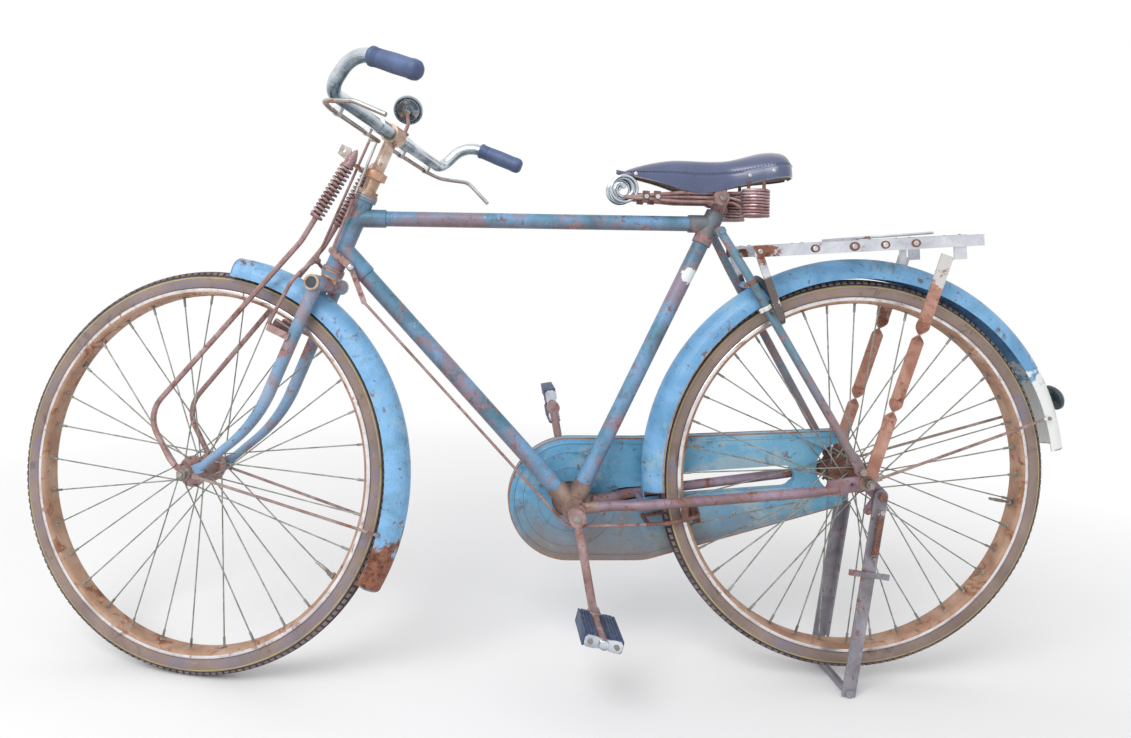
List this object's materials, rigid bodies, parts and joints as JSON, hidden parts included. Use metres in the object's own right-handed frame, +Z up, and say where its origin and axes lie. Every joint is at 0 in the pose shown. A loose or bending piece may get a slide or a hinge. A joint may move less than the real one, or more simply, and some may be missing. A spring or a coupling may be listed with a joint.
{
  "type": "roadster bicycle",
  "caption": "Old roadster bicycle with a lugged steel frame, rod brakes, fork springs, full mudguards, chaincase, rear carrier, sprung saddle and rear stand.",
  "frame": {"origin": "on the ground, below the middle of the whole bicycle's box, 39 mm to the left of the frame's mid plane", "axes": "+X towards the rear wheel, +Y towards the drive side (the rider's right), +Z up"},
  "size_m": [1.912, 0.5109, 1.0491],
  "materials": {
    "blue_paint": "faded blue enamel with rust breaking through",
    "rusty_steel": "steel under a brown coat of rust",
    "dull_steel": "bare steel gone dull",
    "worn_chrome": "chrome plate with pitting",
    "carrier_alloy": "polished aluminium",
    "saddle_vinyl": "glossy slate blue vinyl",
    "grip_rubber": "worn blue-black rubber",
    "tyre_rubber": "dusty brown-grey rubber",
    "pedal_rubber": "worn blue-black rubber on steel",
    "dark_enamel": "dark enamel",
    "pale_enamel": "off-white enamel"
  },
  "bodies": {
    "frame": {"head_tube": "blue_paint", "top_tube": "blue_paint", "down_tube": "blue_paint", "seat_tube": "blue_paint", "seat_lug": "blue_paint", "bottom_bracket": "blue_paint", "left_chain_stay": "rusty_steel", "right_chain_stay": "rusty_steel", "left_seat_stay": "blue_paint", "right_seat_stay": "blue_paint", "seat_post": "rusty_steel", "saddle_frame": "dull_steel", "saddle": "saddle_vinyl", "rear_axle": "dull_steel", "rear_mudguard": "blue_paint", "rear_reflector": "dark_enamel", "chaincase": "blue_paint", "carrier": "carrier_alloy", "carrier_stays": "rusty_steel", "ring_lock": "dark_enamel", "rear_brake": "rusty_steel", "brake_linkage": "rusty_steel", "stand_bracket": "rusty_steel"},
    "fork": {"steering_column": "rusty_steel", "fork": "blue_paint", "fork_springs": "rusty_steel", "fork_struts": "rusty_steel", "front_axle": "dull_steel", "front_mudguard": "blue_paint", "front_brake": "rusty_steel", "handlebar": "worn_chrome", "grips": "grip_rubber", "brake_levers": "rusty_steel", "bell": "worn_chrome", "lamp_bracket": "pale_enamel"},
    "front_wheel": {"front_tyre": "tyre_rubber", "front_rim": "rusty_steel", "front_spokes": "dull_steel", "front_hub": "rusty_steel"},
    "rear_wheel": {"rear_tyre": "tyre_rubber", "rear_rim": "rusty_steel", "rear_spokes": "dull_steel", "rear_hub": "dull_steel"},
    "cranks": {"crank_axle": "dull_steel", "left_crank": "rusty_steel", "right_crank": "rusty_steel"},
    "left_pedal": {"left_pedal": "pedal_rubber"},
    "right_pedal": {"right_pedal": "pedal_rubber"},
    "stand": {"stand_legs": "rusty_steel", "stand_spring": "rusty_steel"}
  },
  "joints": [
    {"name": "steering", "type": "hinge", "parent": "frame", "child": "fork", "pos_m": [-0.67545, 0.0392, -0.00196], "axis": [0.3753, 0, 0.9269], "range_deg": [-45.8, 74.2]},
    {"name": "front_wheel_spin", "type": "hinge", "parent": "fork", "child": "front_wheel", "pos_m": [-0.60993, 0.0576, 0.35358], "axis": [0.2274, 0.9694, -0.0921], "continuous": true},
    {"name": "rear_wheel_spin", "type": "hinge", "parent": "frame", "child": "rear_wheel", "pos_m": [0.56469, 0.0392, 0.37901], "axis": [0, 1, 0], "continuous": true},
    {"name": "crank_spin", "type": "hinge", "parent": "frame", "child": "cranks", "pos_m": [0.05657, 0.0392, 0.30769], "axis": [0, 1, 0], "continuous": true},
    {"name": "left_pedal_spin", "type": "hinge", "parent": "cranks", "child": "left_pedal", "pos_m": [0.08945, 0.0392, 0.146], "axis": [0, 1, 0], "continuous": true},
    {"name": "right_pedal_spin", "type": "hinge", "parent": "cranks", "child": "right_pedal", "pos_m": [0.02368, 0.0392, 0.46938], "axis": [0, 1, 0], "continuous": true},
    {"name": "stand_fold", "type": "hinge", "parent": "frame", "child": "stand", "pos_m": [0.58916, 0.0392, 0.35652], "axis": [0, -1, 0], "range_deg": [0, 87.2]}
  ]
}
